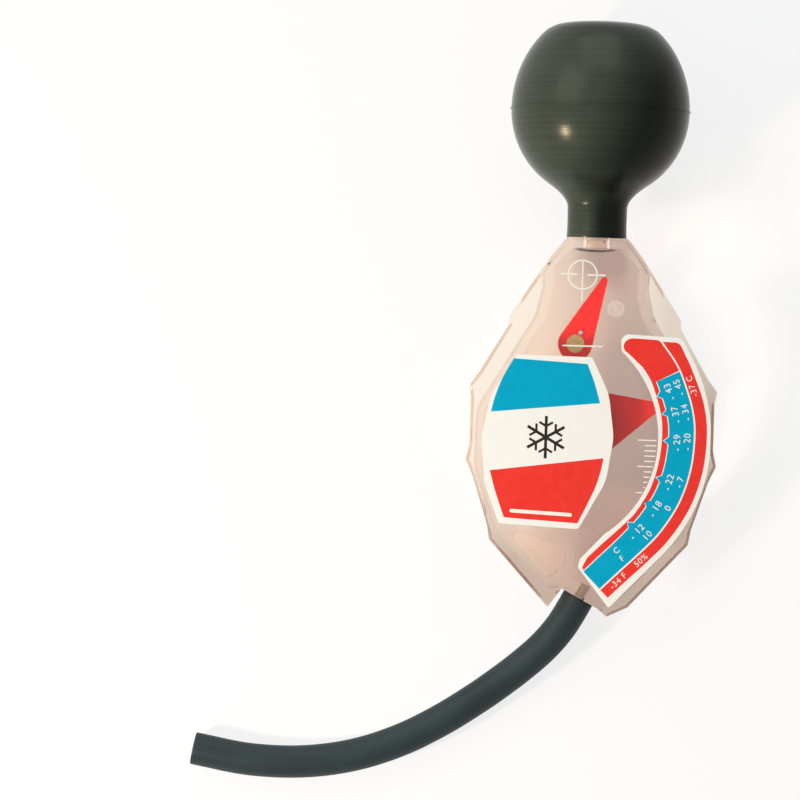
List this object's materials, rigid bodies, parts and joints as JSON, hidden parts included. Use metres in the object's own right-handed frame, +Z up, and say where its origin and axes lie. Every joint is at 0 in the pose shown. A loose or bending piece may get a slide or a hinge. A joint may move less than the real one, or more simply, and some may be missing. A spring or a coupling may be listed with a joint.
{
  "type": "antifreeze tester",
  "caption": "Clear flat coolant tester with a float pointer over a curved scale, a plumb pointer, a black rubber squeeze bulb and a black suction hose.",
  "frame": {"origin": "on the floor, under the middle of the tester without its hose, as it lies on its back", "axes": "+X to the right of the label face, +Y along the tester towards the bulb, +Z up from the floor; the tester's own plane leans up by about 7 degrees towards the bulb"},
  "size_m": [0.1509, 0.2243, 0.0527],
  "materials": {
    "clear_plastic": "clear, slightly warm and hazy",
    "black_rubber": "moulded, satin",
    "hose_rubber": "extruded, matt",
    "printed_label": "printed film",
    "red_plastic": "moulded",
    "brass": "turned",
    "steel": "ground pin"
  },
  "bodies": {
    "tester": {"housing": "clear_plastic", "cover": "clear_plastic", "bulb_wall": "black_rubber", "hose": "hose_rubber", "name_label": "printed_label", "scale_label": "printed_label", "float_pin": "steel", "plumb_pin": "steel"},
    "float": {"float_pointer": "red_plastic", "float_weight": "brass"},
    "plumb": {"plumb_pointer": "red_plastic", "plumb_weight": "brass"},
    "crown": {"bulb_crown": "black_rubber"}
  },
  "joints": [
    {"name": "float_swing", "type": "hinge", "parent": "tester", "child": "float", "pos_m": [-0.0144, -0.03476, 0.01482], "axis": [0, -0.1201, 0.9928], "range_deg": [-82, 18]},
    {"name": "plumb_swing", "type": "hinge", "parent": "tester", "child": "plumb", "pos_m": [-0.004, -0.00448, 0.01849], "axis": [0, -0.1201, 0.9928], "range_deg": [-5, 42]},
    {"name": "crown_press", "type": "slide", "parent": "tester", "child": "crown", "axis": [0, 0.9928, 0.1201], "range_m": [-0.014, 0], "stiffness_N_per_m": 300}
  ]
}
